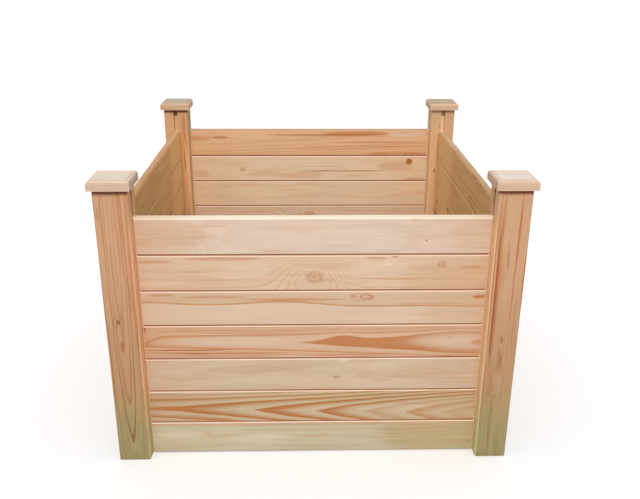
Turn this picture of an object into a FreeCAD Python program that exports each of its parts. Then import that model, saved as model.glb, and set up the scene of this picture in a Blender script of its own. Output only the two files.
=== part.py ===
import FreeCAD, Part
import os

# A square, bottomless raised garden bed of softwood. Four slotted posts stand at the corners.
# Between them, each wall is a stack of tongue and groove boards whose thinned ends slide down
# the slots of two posts. A cap, held by a hidden dowel, closes the top of each post, so the
# top board of a wall can rise only as far as the underside of the caps.
#
# Frame: the ground is z = 0, +Z is up, the origin is the centre of the plan, and the front
# wall faces -Y. All sizes are in millimetres.

# Plan, over the outer faces of the posts.
bed_width = 1010.0
bed_depth = 1010.0

# Posts.
post_side = 80.0
post_edge_radius = 5.0
post_rise = 77.0
slot_width = 14.0
slot_depth = 14.0

# Wall boards.
boards_per_wall = 7
board_cover = 94.0
board_thickness = 24.0
seam_chamfer = 3.5
tongue_thickness = 6.0
tongue_height = 7.0

# Caps and the dowels that hold them.
cap_overhang = 9.0
cap_thickness = 24.0
cap_edge_radius = 8.0
cap_step = 0.8
dowel_diameter = 12.0
dowel_length = 36.0
dowel_depth_in_cap = 14.0
dowel_end_chamfer = 1.0

# Clearances.
slot_side_play = 0.3
slot_end_play = 1.0
tongue_side_play = 0.2
tongue_end_play = 0.6
top_board_seat_gap = 0.3
dowel_side_play = 0.1
dowel_end_play = 1.0

# Sizes that follow from the ones above.
stack_height = boards_per_wall * board_cover + top_board_seat_gap
post_height = stack_height + post_rise
end_thickness = slot_width - 2 * slot_side_play
end_length = slot_depth - slot_end_play
end_chamfer = (board_thickness - end_thickness) / 2
post_centre_x = (bed_width - post_side) / 2
post_centre_y = (bed_depth - post_side) / 2
front_wall_span = bed_width - 2 * post_side
side_wall_span = bed_depth - 2 * post_side
cap_side = post_side + 2 * cap_overhang
dowel_depth_in_post = dowel_length - dowel_depth_in_cap

UP = FreeCAD.Vector(0, 0, 1)
ORIGIN = FreeCAD.Vector(0, 0, 0)


def box(size_x, size_y, size_z, base_z):
    """A block centred on the Z axis, standing on base_z."""
    corner = FreeCAD.Vector(-size_x / 2, -size_y / 2, base_z)
    return Part.makeBox(size_x, size_y, size_z, corner)


def prism(points, sweep):
    """The closed outline through the points, swept along a vector."""
    outline = Part.makePolygon(points + [points[0]])
    return Part.Face(outline).extrude(sweep)


def turned(shape, degrees):
    """A copy turned about the Z axis."""
    copy = shape.copy()
    copy.rotate(ORIGIN, UP, degrees)
    return copy


def moved(shape, x, y, z):
    """A copy moved by x, y, z."""
    copy = shape.copy()
    copy.translate(FreeCAD.Vector(x, y, z))
    return copy


def edges_where(shape, test):
    """The straight edges of a shape whose two end points pass a test."""
    found = []
    for edge in shape.Edges:
        ends = [vertex.Point for vertex in edge.Vertexes]
        if len(ends) == 2 and test(ends[0], ends[1]):
            found.append(edge)
    return found


def board_section(length, has_tongue):
    """The board's section, chamfered at both seams, with a groove below and a tongue above."""
    face = board_thickness / 2
    flat = face - seam_chamfer
    groove_half = tongue_thickness / 2 + tongue_side_play
    groove_top = tongue_height + tongue_end_play
    half_outline = [
        (groove_half, groove_top),
        (groove_half, 0),
        (flat, 0),
        (face, seam_chamfer),
        (face, board_cover - seam_chamfer),
        (flat, board_cover),
    ]
    if has_tongue:
        half_outline.append((tongue_thickness / 2, board_cover))
        half_outline.append((tongue_thickness / 2, board_cover + tongue_height))
    other_half = [(-y, z) for y, z in reversed(half_outline)]
    start = -length / 2
    points = [FreeCAD.Vector(start, y, z) for y, z in half_outline + other_half]
    return prism(points, FreeCAD.Vector(length, 0, 0))


def board_plan(span):
    """The board seen from above: full thickness, narrowed at each end to enter the slots."""
    face = board_thickness / 2
    end = end_thickness / 2
    shoulder = span / 2
    tip = shoulder + end_length
    quarter = [(shoulder - end_chamfer, face), (shoulder, end), (tip, end)]
    outline = quarter
    outline = outline + [(x, -y) for x, y in reversed(quarter)]
    outline = outline + [(-x, -y) for x, y in quarter]
    outline = outline + [(-x, y) for x, y in reversed(quarter)]
    points = [FreeCAD.Vector(x, y, 0) for x, y in outline]
    return prism(points, FreeCAD.Vector(0, 0, board_cover + tongue_height))


def make_board(span, has_tongue):
    """A wall board along X, centred on the Z axis, with its lower edge at z = 0."""
    length = span + 2 * end_length
    return board_section(length, has_tongue).common(board_plan(span))


def make_post():
    """The front left post about its own axis, with slots in its +X and +Y faces."""
    post = box(post_side, post_side, post_height, 0)
    upright = edges_where(post, lambda a, b: abs(a.z - b.z) > post_height / 2)
    post = post.makeFillet(post_edge_radius, upright)
    slot_x = post_side / 2 - slot_depth / 2
    slot = moved(box(slot_depth, slot_width, post_height, 0), slot_x, 0, 0)
    hole_base = FreeCAD.Vector(0, 0, post_height - dowel_depth_in_post - dowel_end_play)
    hole_radius = dowel_diameter / 2 + dowel_side_play
    hole = Part.makeCylinder(hole_radius, dowel_depth_in_post + dowel_end_play, hole_base)
    return post.cut(slot).cut(turned(slot, 90)).cut(hole)


def make_cap():
    """A cap about the post's axis: a flat top, a small step, then a rounded edge."""
    rounded_top = post_height + cap_thickness - cap_step
    cap = box(cap_side, cap_side, cap_thickness - cap_step, post_height)
    rim = edges_where(cap, lambda a, b: min(a.z, b.z) > rounded_top - cap_edge_radius / 2)
    cap = cap.makeFillet(cap_edge_radius, rim)
    flat_side = cap_side - 2 * cap_edge_radius
    cap = cap.fuse(box(flat_side, flat_side, cap_step, rounded_top)).removeSplitter()
    hole_base = FreeCAD.Vector(0, 0, post_height)
    hole_radius = dowel_diameter / 2 + dowel_side_play
    hole = Part.makeCylinder(hole_radius, dowel_depth_in_cap + dowel_end_play, hole_base)
    return cap.cut(hole)


def make_dowel():
    """The dowel that joins a cap to its post, about the post's axis."""
    base = FreeCAD.Vector(0, 0, post_height - dowel_depth_in_post)
    dowel = Part.makeCylinder(dowel_diameter / 2, dowel_length, base)
    rims = [edge for edge in dowel.Edges if len(edge.Vertexes) == 1]
    return dowel.makeChamfer(dowel_end_chamfer, rims)


def corners():
    """Each corner's name, its place in the plan and the turn that points its slots inwards."""
    return [
        ("front_left", -post_centre_x, -post_centre_y, 0),
        ("front_right", post_centre_x, -post_centre_y, 90),
        ("back_right", post_centre_x, post_centre_y, 180),
        ("back_left", -post_centre_x, post_centre_y, 270),
    ]


def walls():
    """Each wall's name, the span between its posts, its place and its turn."""
    return [
        ("front", front_wall_span, 0, -post_centre_y, 0),
        ("right", side_wall_span, post_centre_x, 0, 90),
        ("back", front_wall_span, 0, post_centre_y, 180),
        ("left", side_wall_span, -post_centre_x, 0, 270),
    ]


def build():
    """Every node's name and its shape."""
    nodes = {}
    post = make_post()
    cap = make_cap()
    dowel = make_dowel()
    dowels = []
    for name, x, y, degrees in corners():
        nodes[name + "_post"] = moved(turned(post, degrees), x, y, 0)
        nodes[name + "_cap"] = moved(turned(cap, degrees), x, y, 0)
        dowels.append(moved(dowel, x, y, 0))
    nodes["cap_dowels"] = Part.makeCompound(dowels)
    for name, span, x, y, degrees in walls():
        for row in range(boards_per_wall):
            is_top = row == boards_per_wall - 1
            lift = top_board_seat_gap if is_top else 0
            board = turned(make_board(span, not is_top), degrees)
            node = f"{name}_board_{row + 1}"
            nodes[node] = moved(board, x, y, row * board_cover + lift)
    return nodes


def main():
    os.makedirs("parts", exist_ok=True)
    for name, shape in build().items():
        if not shape.isValid():
            raise ValueError(f"{name} is not a valid shape")
        shape.exportStep(f"parts/{name}.step")
        print(name, len(shape.Solids), round(shape.Volume))


main()
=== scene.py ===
# The look of a square raised garden bed: planed softwood posts, caps and tongue and groove
# boards, on a plain pale floor under soft light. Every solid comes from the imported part.
# This script gives each one its own stick of wood, with the growth rings running through it.
import math

import bpy
from mathutils import Euler, Matrix, Vector


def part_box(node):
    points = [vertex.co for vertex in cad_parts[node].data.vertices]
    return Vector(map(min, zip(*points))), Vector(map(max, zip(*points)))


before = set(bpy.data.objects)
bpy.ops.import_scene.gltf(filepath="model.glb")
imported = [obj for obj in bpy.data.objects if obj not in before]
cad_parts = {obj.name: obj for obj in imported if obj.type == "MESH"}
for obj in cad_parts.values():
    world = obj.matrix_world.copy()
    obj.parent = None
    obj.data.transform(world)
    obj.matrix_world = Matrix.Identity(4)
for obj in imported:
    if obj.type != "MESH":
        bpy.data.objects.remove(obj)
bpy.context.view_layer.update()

# The photograph's frame, in pixels, and where the object's image sits in it.
PICTURE_WIDTH = 640
IMAGE_MOVED_RIGHT = -0.4
IMAGE_MOVED_UP = 18.2

# The camera, in metres, radians and pixels.
CAMERA_PLACE = (-0.0271, -2.0906, 1.2317)
CAMERA_YAW = -0.0250
CAMERA_PITCH = -0.3596
CAMERA_ROLL = 0.0058
CAMERA_FOCAL_PIXELS = 730.2
SENSOR_WIDTH = 36.0

MM_PER_METRE = 1000.0

BOARDS_PER_WALL = 7

# Sizes of the wood, in millimetres.
BOARD_COVER = 94.0
BOARD_HALF_THICKNESS = 12.0
BOARD_HALF_LENGTH = 438.0
SEAM_CHAMFER = 3.5
END_BEVEL_STARTS = 419.9
POST_HEIGHT = 735.3
POST_SIDE = 80.0
SLOT_HALF_WIDTH = 7.0
CAP_FLAT_HALF = 41.0


def millimetres(vector):
    """A place of the frame, in millimetres."""
    return Vector(vector) * MM_PER_METRE


def linear(colour):
    """A colour as it looks on screen, from 0 to 1 a channel, made the light that Blender mixes.
    The numbers are those of the standard screen curve."""
    parts = []
    for part in colour:
        parts.append(part / 12.92 if part <= 0.04045 else ((part + 0.055) / 1.055) ** 2.4)
    return (*parts, 1.0)


# ---------------------------------------------------------------- wiring of the shader nodes


class Wiring:
    """A node tree being wired. Most calls add a node and give back its output."""

    def __init__(self, tree):
        self.tree = tree

    def node(self, kind, *fed, **settings):
        """Adds a node with its settings, and feeds its inputs in their order."""
        made = self.tree.nodes.new(kind)
        for name, value in settings.items():
            setattr(made, name, value)
        for socket, value in zip(made.inputs, fed):
            self.feed(socket, value)
        return made

    def feed(self, socket, value):
        """Links an output to a socket, or sets the socket to a plain value."""
        if isinstance(value, bpy.types.NodeSocket):
            self.tree.links.new(value, socket)
        else:
            socket.default_value = value

    def feed_named(self, made, **values):
        """Feeds the inputs of a node that the values are named after."""
        for name, value in values.items():
            self.feed(made.inputs[socket_label(name)], value)

    def math(self, operation, *values):
        return self.node("ShaderNodeMath", *values, operation=operation).outputs[0]

    def plus(self, *values):
        return self.math("ADD", *values)

    def minus(self, *values):
        return self.math("SUBTRACT", *values)

    def times(self, *values):
        return self.math("MULTIPLY", *values)

    def times_plus(self, *values):
        return self.math("MULTIPLY_ADD", *values)

    def squared(self, value):
        return self.math("POWER", value, 2.0)

    def absolute(self, value):
        return self.math("ABSOLUTE", value)

    def vector_math(self, operation, *values):
        return self.node("ShaderNodeVectorMath", *values, operation=operation).outputs[0]

    def axes(self, vector):
        return self.node("ShaderNodeSeparateXYZ", vector).outputs

    def joined(self, x, y, z):
        return self.node("ShaderNodeCombineXYZ", x, y, z).outputs[0]

    def smooth(self, value, low, high, at_low=0.0, at_high=1.0):
        """A soft step: at_low below low, at_high above high."""
        fed = (value, low, high, at_low, at_high)
        return self.node("ShaderNodeMapRange", *fed, interpolation_type="SMOOTHSTEP").outputs[0]

    def fade(self, value, low, high):
        """A soft step down, from 1 below low to 0 above high."""
        return self.smooth(value, low, high, 1.0, 0.0)

    def noise(self, place, size, detail=2.0, roughness=0.5):
        """Cloudy noise from 0 to 1. Size is that of one cloud along x, y and z."""
        made = self.node("ShaderNodeTexNoise")
        cell = self.vector_math("DIVIDE", place, size)
        self.feed_named(made, vector=cell, scale=1.0, detail=detail, roughness=roughness)
        return made.outputs["Fac"]

    def spread(self, value, amount):
        """Noise from 0 to 1, made to swing by amount to either side of nothing."""
        return self.times(self.minus(value, 0.5), amount)

    def mix(self, share, first, second, blend="MIX"):
        """Mixes two colours, by the mix node's colour sockets."""
        made = self.node("ShaderNodeMix", data_type="RGBA", blend_type=blend)
        self.feed(made.inputs[0], share)
        self.feed(made.inputs[6], first)
        self.feed(made.inputs[7], second)
        return made.outputs[2]

    def group(self, tree, **values):
        """Places a node group and feeds its named inputs."""
        made = self.node("ShaderNodeGroup", node_tree=tree)
        self.feed_named(made, **values)
        return made.outputs


def socket_label(name):
    """The words of a socket's name, for a value's name: ring_width feeds Ring Width."""
    return name.replace("_", " ").title()


def start_group(name, outputs, **inputs):
    """An empty node group that takes a position and named values, and the wiring, inputs and
    outputs to fill it."""
    tree = bpy.data.node_groups.new(name, "ShaderNodeTree")
    new_socket, number = tree.interface.new_socket, "NodeSocketFloat"
    new_socket("Position", in_out="INPUT", socket_type="NodeSocketVector")
    for label, default in inputs.items():
        socket = new_socket(socket_label(label), in_out="INPUT", socket_type=number)
        socket.default_value = default
    for label in outputs:
        new_socket(label, in_out="OUTPUT", socket_type=number)
    wiring = Wiring(tree)
    entry = wiring.node("NodeGroupInput").outputs
    leave = wiring.node("NodeGroupOutput").inputs
    return tree, wiring, entry, leave


# ---------------------------------------------------------------- the wood's own patterns, with painted light and shade
# In each pattern the position is in millimetres: x runs along the grain, y through the
# thickness with the outer face at the negative side, and z across the face. The sizes of
# noise are in millimetres too, along, through and across the grain.

# The growth rings of a stick whose figure says nothing else.
RINGS = dict(
    pith_depth=60.0, pith_height=0.0, pith_drift=0.0, sway=0.0, sway_length=400.0, sway_peak=0.0,
    ring_start=0.0, taper=0.02, taper_growth=0.0, ring_width=6.0, ring_shift=0.0, narrowing=0.0,
    tip=0.0, wave=4.0, ripple=0.6, late_share=0.35, seed=0.0,
)

# The rings' slow waves and small ripples, how narrow the tip of a ring is, and where in a
# year the latewood is darkest and where it ends.
RING_SEED_STRIDE = 977.0
WAVE_SIZE = (260.0, 45.0, 45.0)
RIPPLE_SIZE = (60.0, 9.0, 9.0)
TIP_SHARPNESS = 0.16
LATEWOOD_FULL = 0.97
YEAR_ENDS_FROM = 0.965

# Knots: the ragged outline, as a swing of the distance from the middle, and the distances,
# where 1 is the rim, at which the core, the rim and the heart fade.
KNOT_RAGGED_SIZE = (7.0, 7.0, 7.0)
KNOT_SWING = 0.5
KNOT_NEAREST = 0.75
CORE_FADES = (0.75, 1.1)
RIM_RISES = (0.6, 0.95)
RIM_FADES = (1.0, 1.4)
HEART_FADES = (0.1, 0.5)

# Resin streaks: how they wander, narrow, fade and fray, and how deep under the face they reach.
STREAK_WANDER_SIZE = (90.0, 60.0, 60.0)
STREAK_WANDER = 2.5
STREAK_FRAY_SIZE = (70.0, 2.6, 2.6)
STREAK_NARROWS = (0.3, 1.0)
STREAK_TIP_WIDTH = 0.25
STREAK_SIDE_FADES = (0.2, 1.3)
STREAK_END_FADES = (0.7, 1.0)
STREAK_DEPTH_FADES = (10.0, 20.0)
STREAK_FRAYS = (0.25, 0.6)
STREAK_FRAYED = 0.45

# The fine grain, the resin ducts in it, and the marks of the planer.
FIBRE_SEED_STRIDE = 613.0
LONG_FIBRE_SIZE = (90.0, 1.1, 1.1)
FINE_FIBRE_SIZE = (22.0, 0.35, 0.35)
LONG_FIBRE_SHARE = 0.6
FINE_FIBRE_SHARE = 0.4
DUCT_CELL_SIZE = (26.0, 3.4, 3.4)
DUCT_FADES = (0.04, 0.16)
PLANER_MARK_SPACING = 2.6

# Clouds of tone, coarse grain and blushes, and how far from a board's middle its ends warm.
CLOUD_SEED_STRIDE = 431.0
CLOUD_SIZE = (230.0, 40.0, 30.0)
COARSE_GRAIN_SIZE = (130.0, 5.0, 3.6)
BLUSH_SIZE = (150.0, 16.0, 13.0)
BLUSH_RISES = (0.5, 0.75)
ENDS_WARM = (180.0, 430.0)

# Chips in the arrises: their size, and how they widen and narrow the worn edge.
CHIP_SIZE = (7.0, 7.0, 7.0)
CHIP_SWING = 1.4
CHIP_LEAST = 0.3

# The seams between boards: how sharply a bevel starts, and how deep the dust and painted shade lie.
BEVEL_SHARPNESS = 0.3
DUST_FROM_MIDDLE = (9.6, 10.6)

# Heights over the ground at which the posts' darker and greener tinges fade, and how ragged their
# edges are.
STAIN_RAGGED_SIZE = (30.0, 30.0, 110.0)
STAIN_SWING = 120.0
DAMP_FADES = (230.0, 620.0)
GREEN_FADES = (50.0, 250.0)
SPLASH_FADES = (-10.0, 22.0)

# Depths under the cap at which a post's painted shades start and are full: the dark line of painted
# shadow under the cap, the painted shade in the mouth of a slot, and the painted shade on the side
# that faces the neighbour.
LINE_RAGGED_SIZE = (9.0, 9.0, 9.0)
LINE_SWING = 5.0
LINE_DARKENS = (17.0, 5.0)
MOUTH_DARKENS = (27.0, 19.0)
MOUTH_SHADE = 0.75
SIDE_DARKENS = (110.0, 60.0)
SIDE_SHADE = 0.3

# Where the painted light inside a slot starts, from the slot's side, from the post's middle and
# under the post's face, and where the painted light of the inner side starts under its face.
SLOT_SIDE_STARTS = (0.1, 0.4)
SLOT_BOTTOM_STARTS = (22.0, 24.0)
SLOT_STARTS_UNDER_FACE = (1.5, 0.7)
SIDE_STARTS_UNDER_FACE = (4.0, 0.5)

# Heights over a cap's top, and the width of the line of painted shade round its step.
CAP_TOP_STARTS = (-3.0, -0.6)
STEP_LINE_STARTS = (-2.0, -1.0)
STEP_LINE_FADES = (0.3, 1.3)


def shifted_by_seed(w, given, stride):
    """The position, moved along the grain so that each stick meets other noise."""
    return w.vector_math(
        "ADD", given["Position"], w.joined(w.times(given["Seed"], stride), 0.0, 0.0)
    )


def growth_rings():
    """The growth rings round the pith. At Ring Start, the tip of one ring lies on the outer
    face. Pale wood darkens to latewood, and the year's end is a sharp line."""
    tree, w, given, out = start_group(
        "growth rings", ["Latewood", "Year Tone", "Ramp"], half_thickness=12.0, swell=0.0, **RINGS
    )
    shifted = shifted_by_seed(w, given, RING_SEED_STRIDE)
    x, y, z = w.axes(given["Position"])
    turns = w.math("DIVIDE", w.minus(x, given["Sway Peak"]), given["Sway Length"])
    sway = w.times(w.math("COSINE", w.times(turns, math.tau)), given["Sway"])
    centre = w.times_plus(given["Pith Drift"], x, given["Pith Height"])
    across = w.minus(w.minus(z, centre), sway)
    behind = w.minus(y, given["Pith Depth"])
    squares = w.plus(w.squared(across), w.squared(behind))
    face = w.plus(w.absolute(given["Pith Depth"]), given["Half Thickness"])
    field = w.minus(w.math("SQRT", squares), face)
    run = w.minus(x, given["Ring Start"])
    slope = w.times_plus(given["Taper Growth"], run, given["Taper"])
    field = w.minus(field, w.times(slope, run))
    near = w.math("EXPONENT", w.times(w.absolute(across), -TIP_SHARPNESS))
    field = w.times_plus(w.minus(1.0, near), given["Tip"], field)
    wave = w.minus(w.noise(shifted, WAVE_SIZE, 1.0), 0.5)
    field = w.times_plus(wave, given["Wave"], field)
    ripple = w.minus(w.noise(shifted, RIPPLE_SIZE), 0.5)
    field = w.times_plus(ripple, given["Ripple"], field)
    field = w.plus(field, given["Swell"])
    crowd = w.squared(w.math("MAXIMUM", field, 0.0))
    count = w.times_plus(crowd, given["Narrowing"], given["Ring Shift"])
    count = w.plus(w.math("DIVIDE", field, given["Ring Width"]), count)
    part = w.math("FRACT", count)
    tone = w.node("ShaderNodeTexWhiteNoise", noise_dimensions="1D")
    w.feed(tone.inputs["W"], w.plus(w.math("FLOOR", count), given["Seed"]))
    rise = w.smooth(part, w.minus(1.0, given["Late Share"]), LATEWOOD_FULL)
    stop = w.fade(part, YEAR_ENDS_FROM, 1.0)
    w.feed(out["Latewood"], w.times(rise, stop))
    w.feed(out["Year Tone"], tone.outputs["Value"])
    w.feed(out["Ramp"], w.times(part, stop))
    return tree


def knot():
    """A branch grown through the wood: its core, its rim and heart, and how far it pushes the
    rings aside."""
    tree, w, given, out = start_group(
        "knot", ["Swell", "Core", "Rim", "Heart"], along=0.0, across=0.0, half_length=10.0,
        half_width=7.0, slant=0.2, push=20.0, reach=25.0,
    )
    x, y, z = w.axes(given["Position"])
    lean = w.times(y, given["Slant"])
    dx = w.minus(w.minus(x, given["Along"]), lean)
    dz = w.minus(z, given["Across"])
    far_along = w.squared(w.math("DIVIDE", dx, given["Half Length"]))
    far_across = w.squared(w.math("DIVIDE", dz, given["Half Width"]))
    ragged = w.noise(given["Position"], KNOT_RAGGED_SIZE, 1.0)
    even = w.math("SQRT", w.plus(far_along, far_across))
    far = w.times(even, w.times_plus(ragged, KNOT_SWING, KNOT_NEAREST))
    distance = w.math("DIVIDE", w.times(even, given["Half Width"]), given["Reach"])
    fade = w.math("EXPONENT", w.times(w.squared(distance), -1.0))
    w.feed(out["Swell"], w.times(fade, given["Push"]))
    w.feed(out["Core"], w.fade(far, *CORE_FADES))
    w.feed(out["Rim"], w.times(w.smooth(far, *RIM_RISES), w.fade(far, *RIM_FADES)))
    w.feed(out["Heart"], w.fade(far, *HEART_FADES))
    return tree


def resin_streak():
    """A stretch of darker, resin-filled grain near one face."""
    tree, w, given, out = start_group(
        "resin streak", ["Streak"], start=-50.0, end=50.0, across=0.0, half_width=4.0, face=-12.0
    )
    x, y, z = w.axes(given["Position"])
    middle = w.times(w.plus(given["Start"], given["End"]), 0.5)
    half = w.times(w.minus(given["End"], given["Start"]), 0.5)
    along = w.math("DIVIDE", w.absolute(w.minus(x, middle)), half)
    wander = w.spread(w.noise(given["Position"], STREAK_WANDER_SIZE, 1.0), STREAK_WANDER)
    off = w.minus(w.minus(z, given["Across"]), wander)
    narrowing = w.smooth(along, *STREAK_NARROWS, 1.0, STREAK_TIP_WIDTH)
    thin = w.times(given["Half Width"], narrowing)
    side = w.math("DIVIDE", w.absolute(off), thin)
    deep = w.absolute(w.minus(y, given["Face"]))
    frayed = w.noise(given["Position"], STREAK_FRAY_SIZE)
    body = w.fade(side, *STREAK_SIDE_FADES)
    body = w.times(body, w.fade(along, *STREAK_END_FADES))
    body = w.times(body, w.fade(deep, *STREAK_DEPTH_FADES))
    w.feed(out["Streak"], w.times(body, w.smooth(frayed, *STREAK_FRAYS, STREAK_FRAYED, 1.0)))
    return tree


def fibres():
    """The fine grain: long fibres, short dark resin ducts, and the planer's slight ripples."""
    tree, w, given, out = start_group("fibres", ["Fibre", "Ducts", "Planing"], seed=0.0)
    shifted = shifted_by_seed(w, given, FIBRE_SEED_STRIDE)
    long_fibre = w.noise(shifted, LONG_FIBRE_SIZE, 3.0, 0.6)
    fine_fibre = w.noise(shifted, FINE_FIBRE_SIZE, 2.0, 0.6)
    fine = w.times(fine_fibre, FINE_FIBRE_SHARE)
    w.feed(out["Fibre"], w.times_plus(long_fibre, LONG_FIBRE_SHARE, fine))
    duct = w.node("ShaderNodeTexVoronoi", feature="F1")
    w.feed_named(duct, vector=w.vector_math("DIVIDE", shifted, DUCT_CELL_SIZE), scale=1.0)
    w.feed(out["Ducts"], w.fade(duct.outputs["Distance"], *DUCT_FADES))
    turns = w.times(w.axes(shifted)[0], math.tau / PLANER_MARK_SPACING)
    w.feed(out["Planing"], w.math("SINE", turns))
    return tree


def clouds():
    """Slow changes of tone along a stick, its coarse grain, warm blushes, and the warmer tone
    near its ends."""
    tree, w, given, out = start_group("clouds", ["Tone", "Grain", "Blush", "Ends"], seed=0.0)
    shifted = shifted_by_seed(w, given, CLOUD_SEED_STRIDE)
    w.feed(out["Tone"], w.noise(shifted, CLOUD_SIZE, 3.0, 0.55))
    w.feed(out["Grain"], w.noise(shifted, COARSE_GRAIN_SIZE, 3.0, 0.6))
    w.feed(out["Blush"], w.smooth(w.noise(shifted, BLUSH_SIZE), *BLUSH_RISES))
    along = w.axes(given["Position"])[0]
    w.feed(out["Ends"], w.smooth(w.absolute(along), *ENDS_WARM))
    return tree


def worn_arris():
    """How near a point is to an arris of a squared stick of the given half sizes."""
    tree, w, given, out = start_group(
        "worn arris", ["Wear"], half_x=40.0, half_y=40.0, half_z=40.0, width=2.0
    )
    depths = []
    for half, value in zip(("Half X", "Half Y", "Half Z"), w.axes(given["Position"])):
        depths.append(w.minus(given[half], w.absolute(value)))
    first, second, third = depths
    low = w.math("MINIMUM", first, second)
    high = w.math("MAXIMUM", first, second)
    middle = w.math("MAXIMUM", low, w.math("MINIMUM", high, third))
    chips = w.noise(given["Position"], CHIP_SIZE)
    uneven = w.times(given["Width"], w.times_plus(chips, CHIP_SWING, CHIP_LEAST))
    w.feed(out["Wear"], w.fade(middle, 0.0, uneven))
    return tree


def seam():
    """The V groove between two boards: freshly cut and given a painted highlight on its upper side,
    and dark down inside it and under the board above, partly with dust and partly with painted
    shade. The bevels at a board's two ends are given painted light, and the top board's upper edge
    lies open."""
    tree, w, given, out = start_group("seam", ["Cut", "Dust", "End", "Top"], seam_above=1.0)
    x, y, z = w.axes(given["Position"])
    cut_starts = BOARD_COVER / 2 - SEAM_CHAMFER
    # The upper bevel faces up: fresh wood with a painted highlight. Deep in the groove and on the
    # lower bevel, which faces down: dust and painted shade.
    upper = w.smooth(z, cut_starts - BEVEL_SHARPNESS, cut_starts + BEVEL_SHARPNESS)
    lower = w.fade(z, -cut_starts - BEVEL_SHARPNESS, -cut_starts + BEVEL_SHARPNESS)
    deep = w.fade(w.absolute(y), *DUST_FROM_MIDDLE)
    inside = w.times(w.times(upper, deep), given["Seam Above"])
    w.feed(out["Dust"], w.math("MAXIMUM", inside, lower))
    face_side = w.times(w.minus(1.0, deep), given["Seam Above"])
    w.feed(out["Cut"], w.times(upper, face_side))
    # Painted light: the end bevels, lightened against the shade of the posts.
    end_starts = (END_BEVEL_STARTS, END_BEVEL_STARTS + 2 * BEVEL_SHARPNESS)
    w.feed(out["End"], w.smooth(w.absolute(x), *end_starts))
    w.feed(out["Top"], w.times(upper, w.minus(1.0, given["Seam Above"])))
    return tree


def ground_stain():
    """How the posts darken towards the ground, and turn faintly green at the foot."""
    tree, w, given, out = start_group("ground stain", ["Damp", "Green", "Splash"])
    ragged = w.noise(given["Position"], STAIN_RAGGED_SIZE, 3.0)
    height = w.plus(w.axes(given["Position"])[2], w.spread(ragged, STAIN_SWING))
    w.feed(out["Damp"], w.fade(height, *DAMP_FADES))
    w.feed(out["Green"], w.fade(height, *GREEN_FADES))
    w.feed(out["Splash"], w.fade(height, *SPLASH_FADES))
    return tree


def below_cap(w, height, depths, at_low=0.0, at_high=1.0):
    """A soft step up a post, between two depths under its cap."""
    return w.smooth(height, POST_HEIGHT - depths[0], POST_HEIGHT - depths[1], at_low, at_high)


def post_marks():
    """What marks a post besides its grain: the dark line of painted shadow under its cap, with
    painted shade in the mouths of its slots and on its side there, painted light on the wood inside
    its slots, and painted light on the side that faces its neighbour. Inner Side is 1 or -1 for the
    side at the positive or negative end of the stick's z axis."""
    tree, w, given, out = start_group("post marks", ["Under Cap", "Slot", "Sapwood"], inner_side=1.0)
    x, y, z = w.axes(given["Position"])
    uneven = w.spread(w.noise(given["Position"], LINE_RAGGED_SIZE), LINE_SWING)
    # Painted shadow: a dark line under the cap.
    line = below_cap(w, w.plus(x, uneven), LINE_DARKENS)
    half = POST_SIDE / 2
    slot_face = [half - depth for depth in SLOT_STARTS_UNDER_FACE]
    inner_face = [half - depth for depth in SIDE_STARTS_UNDER_FACE]
    inside = []
    for along_face, into_post in ((z, y), (y, z)):
        deep = w.absolute(into_post)
        side = w.minus(w.absolute(along_face), SLOT_HALF_WIDTH)
        within = w.fade(side, *SLOT_SIDE_STARTS)
        below_face = w.fade(deep, *slot_face)
        in_slot = w.times(w.smooth(deep, *SLOT_BOTTOM_STARTS), below_face)
        inside.append(w.times(within, in_slot))
    # The inside of the slots, which takes painted light.
    slot = w.math("MAXIMUM", *inside)
    # The side that faces the neighbour, which takes painted light.
    towards = w.times(z, given["Inner Side"])
    sapwood = w.smooth(towards, *inner_face)
    # Painted shade in the slots' mouths and on the inner side, under the cap.
    mouth = w.times(slot, below_cap(w, x, MOUTH_DARKENS, 0.0, MOUTH_SHADE))
    side_shade = w.times(sapwood, below_cap(w, x, SIDE_DARKENS, 0.0, SIDE_SHADE))
    shade = w.math("MAXIMUM", line, w.math("MAXIMUM", mouth, side_shade))
    w.feed(out["Under Cap"], shade)
    w.feed(out["Slot"], slot)
    w.feed(out["Sapwood"], sapwood)
    return tree


def cap_marks():
    """A cap's top face, and the fine dark line of painted shade in the step round it."""
    tree, w, given, out = start_group("cap marks", ["Top", "Step"], half_height=12.0)
    x, y, z = w.axes(given["Position"])
    rise = w.minus(z, given["Half Height"])
    w.feed(out["Top"], w.smooth(rise, *CAP_TOP_STARTS))
    reach = w.math("MAXIMUM", w.absolute(x), w.absolute(y))
    off = w.absolute(w.minus(reach, CAP_FLAT_HALF))
    line = w.fade(off, *STEP_LINE_FADES)
    w.feed(out["Step"], w.times(line, w.smooth(rise, *STEP_LINE_STARTS)))
    return tree


GROWTH_RINGS = growth_rings()
KNOT = knot()
RESIN_STREAK = resin_streak()
FIBRES = fibres()
CLOUDS = clouds()
WORN_ARRIS = worn_arris()
SEAM = seam()
GROUND_STAIN = ground_stain()
POST_MARKS = post_marks()
CAP_MARKS = cap_marks()

# ---------------------------------------------------------------- each stick's figure
# Lengths are in millimetres along, through and across the stick, as in the patterns above.

RESIN_ORANGE = (0.725, 0.44, 0.24)
RESIN_DARK = (0.66, 0.35, 0.16)
PALE_WOOD = (0.885, 0.80, 0.715)
WARM_WOOD = (0.80, 0.61, 0.44)
DAMP_WOOD = (0.70, 0.60, 0.41)
# Fresh wood, which is also the painted highlight on the seams' upper bevels.
FRESH_CUT = (0.95, 0.86, 0.77)

# Painted light and shade: lighter and darker stretches on the inner faces of the side walls and the
# rear posts.
LIT_WOOD = (0.99, 0.85, 0.69)
SHADED_WOOD = (0.80, 0.67, 0.48)
GOLDEN_WOOD = (0.915, 0.71, 0.515)
BROWNER_WOOD = (0.88, 0.71, 0.535)
DULL_WOOD = (0.76, 0.61, 0.45)


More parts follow.
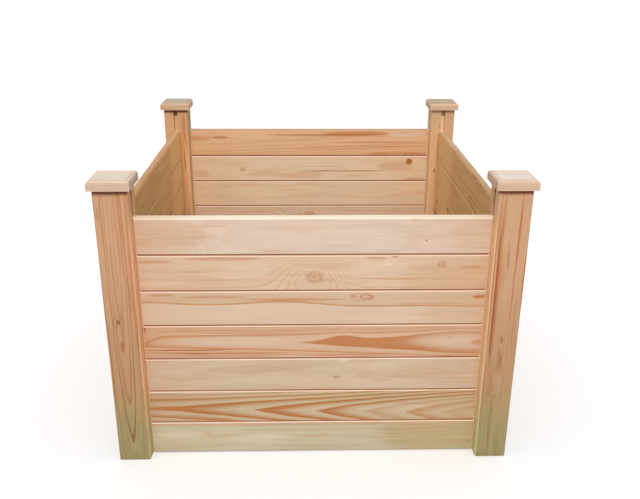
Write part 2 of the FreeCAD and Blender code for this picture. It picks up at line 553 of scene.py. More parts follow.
def branch(along, across, half_length, half_width, core=0.0, rim=0.0, push=0.0, reach=20.0):
    """A knot's place and size, how dark its core and rim are, and how it pushes the rings."""
    return dict(
        along=along, across=across, half_length=half_length, half_width=half_width, core=core,
        rim=rim, push=push, reach=reach,
    )


def patch(colour, start, end, across, half_width, strength):
    """A patch of another colour: its two ends, its place across, its half width and strength."""
    return dict(
        colour=colour, start=start, end=end, across=across, half_width=half_width,
        strength=strength,
    )


def resin(start, end, across, half_width, strength):
    """A streak of resin-filled grain."""
    return patch(RESIN_ORANGE, start, end, across, half_width, strength)


def warm(*shape):
    return patch(WARM_WOOD, *shape)


def pale(*shape):
    return patch(PALE_WOOD, *shape)


BOARD = dict(
    pale=(0.87, 0.75, 0.64),
    band=(0.80, 0.55, 0.36),
    # The colour of the top face, set lighter or darker for how light falls on it: painted light.
    top=(0.76, 0.65, 0.53),
    inside=(1.0, 1.0, 1.0),
    # The colour and share of fresh wood and painted highlight on each seam's upper bevel.
    cut=FRESH_CUT,
    cut_share=0.75,
    contrast=0.6,
    blush=0.15,
    ends=0.2,
    mottle=0.16,
    grain=0.2,
    knots=[],
    streaks=[],
    **RINGS,
)


def stick(base, **changes):
    """A figure like another one, with some values of its own."""
    return {**base, **changes}


def end_for_end(figure, **changes):
    """The same figure on a board laid the other way round and the other way up."""
    turned = dict(figure)
    for key in ("pith_height", "ring_start", "taper", "sway_peak"):
        turned[key] = -figure[key]
    turned["knots"] = [
        {**old, "along": -old["along"], "across": -old["across"]} for old in figure["knots"]
    ]
    turned["streaks"] = []
    for streak in figure["streaks"]:
        ends = dict(start=-streak["end"], end=-streak["start"], across=-streak["across"])
        turned["streaks"].append({**streak, **ends})
    return {**turned, **changes}


FRONT_FIGURES = {
    7: stick(
        BOARD, pale=(0.88, 0.78, 0.70), band=(0.80, 0.65, 0.52), top=(0.93, 0.87, 0.79),
        contrast=0.36, blush=0.3, ends=0.4, pith_depth=220.0, pith_height=-4.0,
        ring_start=-60.0, taper=0.004, ring_width=5.0, ring_shift=0.5, wave=2.0, ripple=1.2,
        late_share=0.4, seed=7.0,
        knots=[
            branch(-400, -12, 22, 12, core=0.12, push=38, reach=58),
            branch(115, -4, 60, 12, push=-2, reach=20),
            branch(235, -4, 15, 12, push=4, reach=34),
            branch(270, -10, 2.5, 2, core=0.8, rim=0.6, reach=5),
        ],
        streaks=[
            warm(-620, -230, 4, 60, 0.45), warm(-330, -180, 26, 4, 0.3),
            warm(-150, 60, 20, 2.5, 0.3), pale(10, 215, -3, 22, 0.6),
            warm(225, 262, 42, 5, 0.5), warm(-130, -70, -36, 4, 0.3),
            warm(300, 600, 8, 40, 0.25),
        ],
    ),
    6: stick(
        BOARD, pale=(0.87, 0.745, 0.63), band=(0.77, 0.56, 0.39), contrast=0.75, blush=0.35,
        pith_depth=110.0, pith_height=70.0, taper=0.0, ring_width=13.0,
        ring_shift=0.75, wave=7.0, ripple=2.6, late_share=0.3, seed=863.5, mottle=0.22,
        knots=[
            branch(3, -10, 19, 13, core=0.3, rim=0.4, push=74, reach=50),
            branch(90, -4, 20, 12, push=-22, reach=30),
            branch(312, 22, 9, 8, core=0.2, rim=0.35, push=4, reach=16),
        ],
        streaks=[
            warm(170, 620, -12, 60, 0.4), pale(70, 250, 8, 22, 0.3),
            pale(-240, -90, 8, 26, 0.4), pale(160, 230, 22, 14, 0.25),
            resin(-430, -330, 31, 5, 0.5), resin(-330, -110, 38, 5, 0.6),
            resin(120, 180, 38, 4, 0.5),
            resin(350, 410, 14, 5, 0.5), resin(186, 206, 42, 3, 0.9), resin(10, 60, -18, 6, 0.35),
            resin(60, 300, -15, 1.6, 0.5), resin(-330, -240, 4, 2.0, 0.35),
        ],
    ),
    5: stick(
        BOARD, pale=(0.86, 0.755, 0.65), band=(0.76, 0.56, 0.38), contrast=1.25, blush=0.1,
        pith_depth=120.0, pith_height=110.0, sway=3.5, sway_length=350.0, sway_peak=-75.0,
        taper=0.0, ring_width=45.0, ring_shift=0.27, wave=1.5, ripple=1.4, late_share=0.10,
        seed=343.5,
        knots=[
            branch(290, 10, 60, 15, push=-7, reach=50),
            branch(131, 30, 14, 6, core=0.15, rim=0.7, push=-2, reach=9),
            branch(122, 30, 26, 10, rim=0.25, reach=9),
        ],
        streaks=[
            warm(-620, 620, 27, 16, 0.3), warm(230, 640, -14, 46, 0.35),
            resin(-410, -330, 37, 5, 0.5), resin(-330, -150, 31, 4, 0.5),
            resin(385, 446, 30, 6, 1.1), resin(180, 400, 12, 1.8, 0.55),
            resin(190, 330, 5, 1.6, 0.45), resin(-200, 90, 24, 5, 0.55),
            resin(40, 150, -36, 2, 0.3), resin(84, 110, 31, 5, 0.5),
        ],
    ),
    4: stick(
        BOARD, pale=(0.84, 0.70, 0.575), band=(0.74, 0.49, 0.31), contrast=1.15, blush=0.15,
        pith_depth=48.0, pith_height=-2.0, pith_drift=-0.012, ring_start=-62.0, taper=0.010,
        taper_growth=0.000008, ring_width=16.0, narrowing=0.022, wave=1.0, ripple=0.4,
        late_share=0.75, tip=0.5, seed=650.0,
        knots=[
            branch(-423, 38, 9, 9, core=1.0, rim=0.9, push=16, reach=26),
            branch(75, 16, 36, 12, push=-2.6, reach=14), branch(365, 6, 30, 12, push=-6, reach=34),
        ],
        streaks=[
            pale(215, 640, 2, 34, 0.42), pale(-380, -40, 4, 16, 0.3),
            resin(392, 446, -4, 9, 0.7), patch(RESIN_DARK, -446, -170, -21, 2.2, 1.0),
            patch(RESIN_DARK, -446, -30, -31, 2.2, 1.0), resin(-420, -70, -38, 1.6, 0.9),
            resin(-400, -130, 33, 1.6, 0.9), resin(-330, -20, 26, 1.4, 0.5),
            resin(-20, 250, -36, 2.0, 0.7), resin(150, 330, -20, 2.4, 0.7),
            resin(330, 352, 10, 3, 0.4), resin(300, 440, -40, 2.5, 0.5),
        ],
    ),
    3: stick(
        BOARD, pale=(0.815, 0.715, 0.605), band=(0.76, 0.61, 0.46), contrast=0.45, blush=0.35,
        pith_depth=250.0, pith_height=10.0, taper=0.002, ring_width=7.0, wave=8.0, ripple=2.0,
        late_share=0.4, seed=3.0, mottle=0.22,
        knots=[branch(62, -8, 9, 5, core=0.2, rim=0.15, push=3, reach=20)],
        streaks=[
            resin(365, 400, 30, 5, 0.3), resin(-445, -300, 44, 3, 0.5), resin(48, 62, -8, 5, 0.4),
            pale(62, 92, 41, 4, 0.9), pale(130, 225, 14, 22, 0.3),
            resin(320, 446, -14, 2.0, 0.3), resin(300, 420, -24, 2.0, 0.3),
            warm(-446, -390, 6, 16, 0.4), warm(-60, 90, -40, 3, 0.5),
            warm(330, 600, -6, 36, 0.3), warm(-446, -300, -38, 5, 0.5),
        ],
    ),
    2: stick(
        BOARD, pale=(0.785, 0.70, 0.565), band=(0.69, 0.455, 0.255), contrast=1.35, blush=0.2,
        pith_depth=58.0, pith_height=-14.5, pith_drift=-0.0275, ring_start=-165.0, taper=0.0305,
        taper_growth=0.0000351, wave=1.2, ripple=0.8, tip=1.3, late_share=0.8,
        seed=2221.5,
        streaks=[
            resin(270, 446, -43, 2.5, 1.0), resin(-390, -280, -28, 2.5, 0.7),
            resin(-350, -200, -38, 6, 0.6), resin(-446, -300, 26, 4, 0.6),
            resin(-446, -300, -6, 8, 0.7), pale(60, 330, -6, 12, 0.25),
        ],
    ),
    1: stick(
        BOARD, pale=(0.775, 0.73, 0.62), band=(0.73, 0.61, 0.44), contrast=0.4, blush=0.5,
        pith_depth=250.0, pith_height=60.0, taper=0.0, ring_width=14.0, wave=10.0, ripple=1.6,
        late_share=0.5, seed=1.0, mottle=0.3,
        streaks=[
            patch(DAMP_WOOD, 130, 700, 6, 90, 0.85), warm(-600, 600, 40, 7, 0.75),
            pale(-420, -280, 10, 16, 0.35), pale(-250, -40, -6, 18, 0.3),
            warm(-292, -260, 10, 14, 0.3), warm(228, 266, 8, 16, 0.32),
            patch(DAMP_WOOD, -446, -300, -36, 8, 0.3), patch(DAMP_WOOD, -120, 180, -30, 8, 0.25),
            warm(-200, 240, 22, 5, 0.55), warm(-60, 200, 2, 3, 0.5),
            warm(150, 420, 26, 4, 0.5), warm(240, 446, -20, 4, 0.4),
        ],
    ),
}

BACK_FIGURES = {
    7: stick(
        BOARD, pale=(0.89, 0.73, 0.57), band=(0.84, 0.56, 0.36), top=(0.76, 0.61, 0.47),
        contrast=1.1, blush=0.15, ends=0.1, pith_depth=-90.0, pith_height=30.0,
        pith_drift=-0.027, ring_start=285.0, taper=0.006, ring_width=4.4, wave=2.0, ripple=0.8,
        late_share=0.6, tip=0.5, seed=27.0,
        knots=[branch(-340, 34, 40, 12, push=-5, reach=20)],
        streaks=[
            resin(-300, -30, 34, 9, 0.75), resin(-290, 180, 29, 5, 0.85),
            resin(-446, -180, -38, 6, 0.75), resin(-446, -40, 2, 1.8, 0.9),
            resin(-446, 60, -12, 1.8, 0.8), resin(-400, 200, -20, 1.5, 0.6),
            resin(284, 350, 20, 6, 0.75), resin(350, 446, 14, 12, 0.35),
            pale(-420, -268, 34, 14, 0.5),
        ],
    ),
    6: stick(
        BOARD, pale=(0.905, 0.795, 0.67), band=(0.84, 0.63, 0.43), contrast=0.5, blush=0.25,
        pith_depth=-120.0, pith_height=-20.0, taper=0.003, ring_width=7.0, wave=6.0, seed=26.0,
        knots=[
            branch(-360, 26, 10, 9, core=1.1, rim=1.0, push=10, reach=25),
            branch(240, -4, 11, 6, core=0.3, rim=0.2, push=4, reach=14),
        ],
        streaks=[
            resin(-300, 60, -9, 3, 0.9), resin(-430, -330, -40, 4, 0.7),
            warm(-380, -230, 8, 22, 0.6), resin(-60, 80, -14, 1.6, 0.6),
            resin(-140, 60, 8, 1.4, 0.5), pale(-446, -372, 2, 12, 0.5),
        ],
    ),
    5: stick(
        BOARD, pale=(0.90, 0.79, 0.66), band=(0.84, 0.63, 0.44), contrast=0.5, blush=0.35,
        pith_depth=-150.0, pith_height=30.0, taper=0.002, wave=7.0, ripple=2.0,
        seed=25.0, mottle=0.22,
    ),
}
SIDE = stick(
    BOARD, pale=(0.92, 0.775, 0.60), band=(0.76, 0.545, 0.33), contrast=1.0, blush=0.3, ends=0.0,
    pith_depth=-70.0, pith_height=-12.0, taper=0.012, ring_width=4.0, wave=5.0, ripple=1.6,
    late_share=0.3, cut_share=0.45,
)
LEFT_SIDE = stick(
    SIDE,
    # Painted light and shade along the inner face.
    streaks=[patch(LIT_WOOD, -900, -150, 0, 150, 1.0), patch(SHADED_WOOD, -80, 900, 0, 150, 0.5)],
)
LEFT_FIGURES = {
    7: stick(LEFT_SIDE, top=(0.77, 0.60, 0.44), seed=77.0, pith_height=14.0),
    6: stick(
        LEFT_SIDE, seed=76.0,
        knots=[branch(-150, 36, 12, 7, core=0.4, rim=0.4, push=6, reach=20)],
    ),
    5: stick(LEFT_SIDE, seed=75.0, pith_height=30.0, taper=-0.01),
}
RIGHT_SIDE = stick(
    # Painted light along the inner face, and a brighter painted highlight on the seams' upper
    # bevels.
    SIDE, cut=(1.0, 0.89, 0.71), cut_share=1.0, streaks=[patch(LIT_WOOD, 110, 900, 0, 150, 1.0)],
)
RIGHT_FIGURES = {
    7: stick(RIGHT_SIDE, top=(0.74, 0.60, 0.45), seed=37.0, pith_height=-30.0, taper=-0.008),
    6: stick(RIGHT_SIDE, seed=36.0, pith_height=20.0),
    5: stick(
        RIGHT_SIDE, seed=35.0,
        knots=[
            branch(180, 27, 11, 8, core=0.8, rim=0.8, push=8, reach=22),
            branch(380, -8, 10, 8, core=0.8, rim=0.8, push=8, reach=22),
        ],
    ),
}
# Painted shade: the side walls' inner faces are made darker and yellower.
SIDE_INSIDE = (0.955, 0.91, 0.79)
BORROWED_ROWS = {
    "right": {1: 3, 2: 6, 3: 1, 4: 2},
    "back": {1: 5, 2: 3, 3: 7, 4: 6},
    "left": {1: 6, 2: 7, 3: 4, 4: 3},
}
BORROWED_SEED_STEPS = {"right": 50.0, "back": 40.0, "left": 40.0}
WALL_FIGURES = {"right": RIGHT_FIGURES, "back": BACK_FIGURES, "left": LEFT_FIGURES}


def board_figure(wall, row):
    """The figure of a board. The lower boards of the walls that the photograph hides borrow
    theirs from other rows of the front wall, turned end for end."""
    if wall == "front":
        return FRONT_FIGURES[row]
    inside = BOARD["inside"] if wall == "back" else SIDE_INSIDE
    if row in WALL_FIGURES[wall]:
        return stick(WALL_FIGURES[wall][row], inside=inside)
    borrowed = FRONT_FIGURES[BORROWED_ROWS[wall][row]]
    seed = borrowed["seed"] + BORROWED_SEED_STEPS[wall]
    return end_for_end(borrowed, inside=inside, seed=seed)


POST = stick(
    BOARD, pale=(0.81, 0.635, 0.49), band=(0.70, 0.42, 0.25), contrast=1.0, blush=0.3, ends=0.0,
    # side and slot are colours of painted light, on the inner side and inside the slots.
    pith_depth=0.0, wave=1.5, late_share=0.3, inner_side=-1.0, side=(0.99, 0.78, 0.58),
    slot=(0.91, 0.70, 0.53), damp=1.0, under_cap=0.9,
)
POST_FIGURES = {
    "front_left_post": stick(
        POST, ring_start=52.0, taper=0.0277, taper_growth=-0.0000265,
        ring_width=2.8, tip=0.25, seed=244.5, late_share=0.4, wave=0.9, ripple=0.7,
        contrast=1.4,
        knots=[
            branch(410, 7.5, 5, 4.5, core=1.3, rim=1.2, push=1.2, reach=13),
            branch(410, 7.5, 14, 12, rim=0.3),
        ],
        streaks=[
            resin(250, 800, -34, 4, 0.55), resin(430, 735, 0, 1.4, 0.6), resin(314, 352, 4, 6, 0.9),
            resin(600, 760, -20, 5, 0.5), resin(420, 640, 9, 1.5, 0.5), resin(100, 420, 34, 2, 0.8),
            resin(380, 735, -24, 1.6, 0.7), resin(655, 700, 30, 3, 0.6),
        ],
    ),
    "front_right_post": stick(
        POST, pith_height=3.0, taper=0.0, ring_width=4.5, seed=435.5, wave=2.5,
        contrast=0.8, inner_side=1.0, side=(1.0, 0.83, 0.65),
        knots=[
            branch(353, 1, 6, 3.5, core=0.35, rim=0.6, push=2, reach=9),
            branch(220, 3, 45, 20, rim=0.12, push=5, reach=13),
        ],
        streaks=[
            resin(250, 700, 25, 6, 0.8), patch(RESIN_DARK, 262, 668, 28, 3.2, 1.1),
            resin(300, 735, 36, 1.5, 1.2), resin(420, 590, -38, 3, 1.4),
            resin(500, 740, -16, 3.5, 0.9), resin(380, 560, -14, 1.8, 0.8),
            resin(600, 735, 24, 4, 0.7), resin(20, 190, 10, 4, 0.6), resin(262, 308, -3, 3, 0.9),
            resin(560, 735, 32, 1.5, 0.9), resin(345, 362, 1, 2.5, 1.0), resin(40, 300, 34, 2, 0.6),
            pale(190, 250, -2, 15, 0.16), patch(DAMP_WOOD, 245, 300, 4, 14, 0.4),
            patch(DAMP_WOOD, 90, 180, 12, 10, 0.3), resin(176, 190, 5, 4, 0.5),
        ],
    ),
    "back_right_post": stick(
        POST, pale=(0.825, 0.665, 0.50), band=(0.76, 0.53, 0.35), pith_height=-30.0,
        ring_start=400.0, taper=0.01, seed=43.0, contrast=0.5, blush=0.2, inner_side=1.0,
        side=(0.95, 0.80, 0.61), slot=(0.95, 0.81, 0.67), damp=0.0, under_cap=0.4,
        knots=[
            branch(524, 20, 7, 3, core=0.7, rim=0.7, push=3, reach=10),
            branch(683, 10, 5, 2, core=0.6, rim=0.5, push=2, reach=8),
        ],
        streaks=[
            # Painted light over much of the face, and a darker stretch of painted shade.
            patch(BROWNER_WOOD, -100, 730, 28, 60, 1.2), resin(540, 640, 14, 4, 0.4),
            patch(DULL_WOOD, 400, 1000, -28, 18, 0.7),
        ],
    ),
    "back_left_post": stick(
        POST, pale=(0.81, 0.635, 0.455), band=(0.76, 0.50, 0.32), pith_height=25.0,
        ring_start=300.0, taper=0.02, seed=44.0, contrast=0.6, blush=0.2, side=(0.89, 0.745, 0.55),
        slot=(0.88, 0.71, 0.545), damp=0.0,
        streaks=[
            # Painted light over much of the face.
            patch(GOLDEN_WOOD, -100, 700, -28, 60, 1.3), resin(285, 375, -27, 3, 1.2),
            resin(610, 735, -28, 3, 1.0), resin(570, 650, -33, 3, 0.8),
            resin(500, 610, -24, 3, 1.0), resin(560, 735, -22, 7, 0.5),
        ],
    ),
}

CAP = stick(
    BOARD, pale=(0.84, 0.72, 0.61), band=(0.72, 0.54, 0.39), contrast=0.7, ends=0.0, grain=0.3,
    mottle=0.3, pith_depth=80.0, pith_height=20.0, ring_width=4.0, wave=3.0,
    ripple=1.0, late_share=0.3,
)
# Each cap's top colour is partly weathering and partly painted light, paler on the front caps.
CAP_FIGURES = {
    "front_left_cap": stick(CAP, pale=(0.83, 0.72, 0.63), top=(0.855, 0.795, 0.725), seed=51.0),
    "front_right_cap": stick(CAP, pale=(0.83, 0.70, 0.59), top=(0.875, 0.81, 0.75), seed=52.0),
    "back_right_cap": stick(CAP, pale=(0.81, 0.68, 0.555), top=(0.685, 0.62, 0.51), seed=53.0),
    "back_left_cap": stick(CAP, pale=(0.82, 0.67, 0.535), top=(0.685, 0.625, 0.525), seed=54.0),
}
DOWEL = stick(BOARD, pale=(0.84, 0.72, 0.56), contrast=0.3, ring_width=2.0, seed=60.0)

# ---------------------------------------------------------------- the wood's material

KNOT_BROWN = (0.69, 0.45, 0.23)
KNOT_RIM = (0.64, 0.36, 0.15)
KNOT_RIM_SHARE = 0.8
KNOT_HEART = (0.46, 0.26, 0.11)
KNOT_HEART_SHARE = 0.6
RESIN_BROWN = (0.47, 0.27, 0.15)
# The posts' colour low down: darker and a little greener towards the ground.
DAMP_TINGE = (0.90, 0.905, 0.86)
# Painted shadow: the dark red-brown under a post's cap.
UNDER_CAP = (0.46, 0.18, 0.07)
# How strongly painted light lightens a post's inner side and the inside of its slots.
POST_SIDE_SHARE = 0.85
POST_SLOT_SHARE = 0.7

# Markings, and painted light and shade, each as its colour and how strongly it is laid over the
# wood.
RESIN_DUCTS = (RESIN_BROWN, 0.10)
WORN_EDGE = (FRESH_CUT, 0.25)
# Dust and painted shade in the seams' grooves and on the bevels that face down.
SEAM_DUST = ((0.60, 0.31, 0.14), 0.75)
# Painted light on the end bevels next to the posts, against the posts' shade.
END_CUT = ((0.93, 0.83, 0.69), 0.8)
GREEN_TINGE = ((0.79, 1.0, 0.93), 0.75)
SOIL_SPLASH = ((0.36, 0.42, 0.25), 0.2)
# Painted shade in the step round a cap's top.
CAP_STEP_LINE = (RESIN_BROWN, 0.3)

# A year's tone goes from the least to full, and its darkness ramps up before the latewood.
YEAR_TONE_SWING = 0.85
YEAR_TONE_LEAST = 0.15
RAMP_SHARE = 0.2
LATEWOOD_SHARE = 0.8
FIBRE_TONE = 0.14

# The roughness of planed wood, and what the latewood, the fibres and wear add to it.
PLANED = 0.52
FIBRE_ROUGHNESS = 0.20
LATEWOOD_ROUGHNESS = -0.08
WORN_ROUGHNESS = 0.10
SHEEN = 0.35

# The fine relief, as shares of its depth in metres.
RELIEF_DEPTH = 0.0003
RELIEF_STRENGTH = 0.35
LATEWOOD_RELIEF = 0.35
FIBRE_RELIEF = 0.9
DUCT_RELIEF = -0.4
PLANING_RELIEF = 0.03

# Where, through a board's thickness, its inner face's tinge of painted shade starts and is full.
INNER_FACE_TINGES = (0.0, 8.0)


class Softwood:
    """The material of one stick of planed softwood. Turn and centre carry a place of the frame
    to the stick's own axes, whose x runs along the grain."""

    def __init__(self, name, figure, turn, centre, half_sizes):
        self.material = bpy.data.materials.new(name)
        self.material.use_nodes = True
        self.figure = figure
        self.half_sizes = half_sizes
        self.w = Wiring(self.material.node_tree)
        self.shader = self.material.node_tree.nodes["Principled BSDF"]
        object_place = self.w.node("ShaderNodeTexCoord").outputs["Object"]
        scale = (MM_PER_METRE,) * 3
        origin = -(turn.to_matrix() @ centre)
        lay = self.w.node("ShaderNodeMapping", vector_type="POINT")
        self.w.feed_named(lay, vector=object_place, scale=scale, rotation=turn, location=origin)
        self.place = lay.outputs[0]
        self.frame_place = self.w.vector_math("MULTIPLY", object_place, scale)
        self.grow()

    def tint(self, share, colour, strength=1.0, blend="MIX"):
        """Lays a plain colour over the wood, where share says."""
        share = self.w.times(share, strength)
        self.colour = self.w.mix(share, self.colour, linear(colour), blend)

    def shift(self, share, colour):
        """Shifts the pale wood to another colour, and what crosses it along with it."""
        parts = zip(linear(colour), linear(self.figure["pale"]))
        tinge = [new / old for new, old in parts]
        self.colour = self.w.mix(share, self.colour, tinge, "MULTIPLY")

    def grow(self):
        """The rings, fibres, streaks and knots, and the planed and worn faces."""
        w, figure = self.w, self.figure
        knots, swell = self.knots_and_swell()
        ring_values = {key: figure[key] for key in RINGS}
        rings = w.group(
            GROWTH_RINGS, position=self.place, swell=swell, half_thickness=self.half_sizes[1],
            **ring_values,
        )
        grain = w.group(FIBRES, position=self.place, seed=figure["seed"])
        slow = w.group(CLOUDS, position=self.place, seed=figure["seed"])
        halves = dict(zip(("half_x", "half_y", "half_z"), self.half_sizes))
        arris = w.group(WORN_ARRIS, position=self.place, **halves)
        self.colour_rings(rings, slow)
        for streak in figure["streaks"]:
            self.colour_streak(**streak)
        for made, values in knots:
            self.tint(made["Core"], KNOT_BROWN, values["core"])
            self.tint(made["Rim"], KNOT_RIM, KNOT_RIM_SHARE * values["rim"])
            self.tint(made["Heart"], KNOT_HEART, KNOT_HEART_SHARE * values["core"])
        tone = w.plus(w.spread(slow["Tone"], figure["mottle"]), 1.0)
        tone = w.plus(w.spread(slow["Grain"], figure["grain"]), tone)
        tone = w.plus(w.spread(grain["Fibre"], FIBRE_TONE), tone)
        self.colour = w.mix(1.0, self.colour, w.joined(tone, tone, tone), "MULTIPLY")
        self.tint(grain["Ducts"], *RESIN_DUCTS)
        self.tint(arris["Wear"], *WORN_EDGE)
        self.finish_face(rings, grain, arris)

    def knots_and_swell(self):
        """The figure's knots, and the sum of what they push the rings aside."""
        swell = 0.0
        knots = []
        for values in self.figure["knots"]:
            shape = {key: value for key, value in values.items() if key not in ("core", "rim")}
            made = self.w.group(KNOT, position=self.place, **shape)
            swell = self.w.plus(made["Swell"], swell)
            if values["core"] > 0.0 or values["rim"] > 0.0:
                knots.append((made, values))
        return knots, swell

    def colour_rings(self, rings, slow):
        """Pale spring wood darkening to each year's end, warmer in the blushes and the ends."""
        w, figure = self.w, self.figure
        year = w.times_plus(rings["Year Tone"], YEAR_TONE_SWING, YEAR_TONE_LEAST)
        late = w.times(rings["Ramp"], RAMP_SHARE)
        late = w.times_plus(rings["Latewood"], LATEWOOD_SHARE, late)
        late = w.times(w.times(late, year), figure["contrast"])
        band = linear(figure["band"])
        ringed = w.mix(late, linear(figure["pale"]), band)
        warmth = w.times(slow["Blush"], figure["blush"])
        warmth = w.times_plus(slow["Ends"], figure["ends"], warmth)
        self.colour = w.mix(warmth, ringed, band)

    def colour_streak(self, colour, strength, **shape):
        """One streak or patch, near the face that the figure is drawn for."""
        outer = -1.0 if self.figure["pith_depth"] >= 0.0 else 1.0
        face = outer * self.half_sizes[1]
        streak = self.w.group(RESIN_STREAK, position=self.place, face=face, **shape)
        self.tint(streak["Streak"], colour, strength)

    def finish_face(self, rings, grain, arris):
        """The roughness of planed wood, and its fine relief."""
        w, shader = self.w, self.shader
        rough = w.times_plus(grain["Fibre"], FIBRE_ROUGHNESS, PLANED)
        rough = w.times_plus(rings["Latewood"], LATEWOOD_ROUGHNESS, rough)
        rough = w.times_plus(arris["Wear"], WORN_ROUGHNESS, rough)
        w.feed(shader.inputs["Roughness"], rough)
        w.feed(shader.inputs["Specular IOR Level"], SHEEN)
        height = w.times(rings["Latewood"], LATEWOOD_RELIEF)
        height = w.times_plus(grain["Fibre"], FIBRE_RELIEF, height)
        height = w.times_plus(grain["Ducts"], DUCT_RELIEF, height)
        height = w.times_plus(grain["Planing"], PLANING_RELIEF, height)
        bump = w.node("ShaderNodeBump")
        w.feed_named(bump, strength=RELIEF_STRENGTH, distance=RELIEF_DEPTH, height=height)
        w.feed(shader.inputs["Normal"], bump.outputs[0])

    def mark_board(self, seam_above):
        """A board's inner face with its painted shade, its upper bevels freshly cut and given a
        painted highlight, its end bevels and top edge given painted light, and the dust and painted
        shade in its seams.
        """
        w = self.w
        groove = w.group(SEAM, position=self.place, seam_above=seam_above)
        inner = w.smooth(w.axes(self.place)[1], *INNER_FACE_TINGES)
        # Fresh wood and a painted highlight on the upper bevel.
        self.tint(groove["Cut"], self.figure["cut"], self.figure["cut_share"])
        # Painted shade on the inner face.
        self.tint(inner, self.figure["inside"], blend="MULTIPLY")
        # Painted light: the top board's upper edge in its top colour.
        self.shift(groove["Top"], self.figure["top"])
        # Dust and painted shade down in the groove and on the lower bevel.
        self.tint(groove["Dust"], *SEAM_DUST)
        # Painted light on the end bevels.
        self.tint(groove["End"], *END_CUT)

    def mark_post(self):
        """A post's slots and inner side given painted light, its darker and greener foot, and the
        painted shadow under its cap.
        """
        w = self.w
        marks = w.group(POST_MARKS, position=self.place, inner_side=self.figure["inner_side"])
        ground = w.group(GROUND_STAIN, position=self.frame_place)
        self.tint(ground["Damp"], DAMP_TINGE, self.figure["damp"], "MULTIPLY")
        # Painted light on the inner side and inside the slots.
        self.tint(marks["Sapwood"], self.figure["side"], POST_SIDE_SHARE)
        self.tint(marks["Slot"], self.figure["slot"], POST_SLOT_SHARE)
        self.tint(ground["Green"], *GREEN_TINGE, "MULTIPLY")
        self.tint(ground["Splash"], *SOIL_SPLASH)
        # Painted shadow under the cap, with painted shade in the slot mouths and on the inner side.
        self.tint(marks["Under Cap"], UNDER_CAP, self.figure["under_cap"])

    def mark_cap(self):
        """A cap's top, in a colour that is partly weathering and partly painted light."""
        marks = self.w.group(CAP_MARKS, position=self.place, half_height=self.half_sizes[2])
        # Partly weathering and partly painted light on the top.
        self.shift(marks["Top"], self.figure["top"])
        # Painted shade in the step.
        self.tint(marks["Step"], *CAP_STEP_LINE)

    def dress(self, node):
        """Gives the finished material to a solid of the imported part."""
        self.w.feed(self.shader.inputs["Base Color"], self.colour)
        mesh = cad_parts[node].data
        mesh.materials.clear()
        mesh.materials.append(self.material)


GRAIN_UPWARDS = Euler((0, math.radians(90), 0))

# A dowel is round, so its stick's arrises are put out of reach.
DOWEL_HALF_SIZES = (900.0, 900.0, 900.0)


def box_centre(node):
    """The centre of a solid's box."""
    low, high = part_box(node)
    return millimetres((low + high) / 2)


def box_half_sizes(node):
    low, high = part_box(node)
    return millimetres((high - low) / 2)


def dress_boards():
    """Each board lies along its wall, with its outer face at the stick's negative y."""
    half_sizes = (BOARD_HALF_LENGTH, BOARD_HALF_THICKNESS, BOARD_COVER / 2)
    for wall, degrees in (("front", 0), ("right", 90), ("back", 180), ("left", 270)):
        turn = Euler((0, 0, -math.radians(degrees)))
        for row in range(1, BOARDS_PER_WALL + 1):
            node = f"{wall}_board_{row}"
            centre = box_centre(node)
            centre.z = (row - 0.5) * BOARD_COVER
            name = f"{wall} wall board {row}"
            wood = Softwood(name, board_figure(wall, row), turn, centre, half_sizes)
            wood.mark_board(seam_above=0.0 if row == BOARDS_PER_WALL else 1.0)
            wood.dress(node)


def dress_posts():
    """Each post's grain runs up it."""
    half_sizes = (POST_HEIGHT, POST_SIDE / 2, POST_SIDE / 2)
    for node, figure in POST_FIGURES.items():
        centre = box_centre(node)
        centre.z = 0.0
        wood = Softwood(node.replace("_", " "), figure, GRAIN_UPWARDS, centre, half_sizes)
        wood.mark_post()
        wood.dress(node)


def dress_caps():
    """Each cap's grain runs from left to right."""
    level = Euler((0, 0, 0))
    for node, figure in CAP_FIGURES.items():
        half_sizes = box_half_sizes(node)
        wood = Softwood(node.replace("_", " "), figure, level, box_centre(node), half_sizes)
        wood.mark_cap()
        wood.dress(node)


def dress_dowels():
    centre = Vector((0, 0, 0))
    wood = Softwood("cap dowels", DOWEL, GRAIN_UPWARDS, centre, DOWEL_HALF_SIZES)
    wood.dress("cap_dowels")


# ---------------------------------------------------------------- floor, light and camera

FLOOR_SIZE = 80.0
FLOOR_GAP = 0.0002
FLOOR_COLOUR = (0.40, 0.40, 0.40, 1.0)
FLOOR_COLOUR_SEEN = (0.94, 0.945, 0.955, 1.0)
FLOOR_ROUGHNESS = 0.9
WHITE = (1.0, 1.0, 1.0, 1.0)
SKY_LIGHT = 0.69
KEY_STRENGTH = 1.95
KEY_SOFTNESS = math.radians(12)
KEY_HEIGHT = math.radians(45)
KEY_TO_LEFT = math.radians(2)


def backdrop_rays(w):
    """1 for the rays that should meet the plain white background, and 0 for the light."""
    path = w.node("ShaderNodeLightPath").outputs
    seen = w.math("MAXIMUM", path["Is Camera Ray"], path["Is Glossy Ray"])
    return w.math("MAXIMUM", seen, path["Is Transmission Ray"])


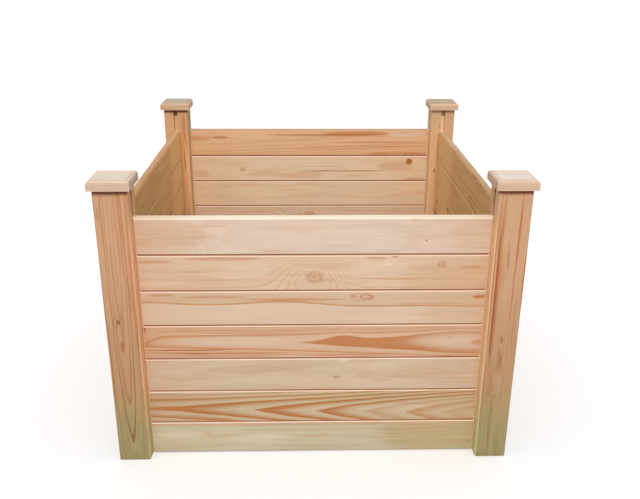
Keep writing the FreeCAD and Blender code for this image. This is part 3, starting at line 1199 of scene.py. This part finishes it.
def lay_floor():
    """A plain pale floor that takes the bed's shadow."""
    bpy.ops.mesh.primitive_plane_add(size=FLOOR_SIZE, location=(0, 0, -FLOOR_GAP))
    floor = bpy.context.object
    floor.name = "floor"
    material = bpy.data.materials.new("pale floor")
    material.use_nodes = True
    w = Wiring(material.node_tree)
    shader = material.node_tree.nodes["Principled BSDF"]
    colour = w.mix(backdrop_rays(w), FLOOR_COLOUR, FLOOR_COLOUR_SEEN)
    w.feed_named(shader, base_color=colour, roughness=FLOOR_ROUGHNESS)
    w.feed(shader.inputs["Specular IOR Level"], 0.0)
    floor.data.materials.append(material)


def light_sky():
    """An even dome of light, with a white background behind the bed."""
    world = bpy.data.worlds.new("soft white room")
    bpy.context.scene.world = world
    world.use_nodes = True
    w = Wiring(world.node_tree)
    nodes = world.node_tree.nodes
    dome = nodes["Background"]
    w.feed_named(dome, color=WHITE, strength=SKY_LIGHT)
    white = w.node("ShaderNodeBackground", WHITE, 1.0)
    lights = (backdrop_rays(w), dome.outputs[0], white.outputs[0])
    mixed = w.node("ShaderNodeMixShader", *lights)
    w.feed(nodes["World Output"].inputs["Surface"], mixed.outputs[0])


def hang_key_lamp():
    """One broad soft lamp, high in front of the bed and a little to the left."""
    lamp = bpy.data.lights.new("key lamp", "SUN")
    lamp.energy = KEY_STRENGTH
    lamp.angle = KEY_SOFTNESS
    holder = bpy.data.objects.new("key lamp", lamp)
    holder.rotation_euler = (math.pi / 2 - KEY_HEIGHT, 0, -KEY_TO_LEFT)
    bpy.context.scene.collection.objects.link(holder)


def place_camera():
    """The photograph's view, found from the bed's own edges."""
    camera = bpy.data.cameras.new("camera")
    camera.sensor_fit = "HORIZONTAL"
    camera.sensor_width = SENSOR_WIDTH
    camera.lens = CAMERA_FOCAL_PIXELS * SENSOR_WIDTH / PICTURE_WIDTH
    camera.shift_x = -IMAGE_MOVED_RIGHT / PICTURE_WIDTH
    camera.shift_y = -IMAGE_MOVED_UP / PICTURE_WIDTH
    holder = bpy.data.objects.new("camera", camera)
    yaw = Matrix.Rotation(CAMERA_YAW, 4, "Z")
    pitch = Matrix.Rotation(math.pi / 2 + CAMERA_PITCH, 4, "X")
    roll = Matrix.Rotation(CAMERA_ROLL, 4, "Z")
    holder.matrix_world = Matrix.Translation(CAMERA_PLACE) @ yaw @ pitch @ roll
    bpy.context.scene.collection.objects.link(holder)
    bpy.context.scene.camera = holder


dress_boards()
dress_posts()
dress_caps()
dress_dowels()
lay_floor()
light_sky()
hang_key_lamp()
place_camera()
bpy.context.scene.view_settings.view_transform = "Standard"
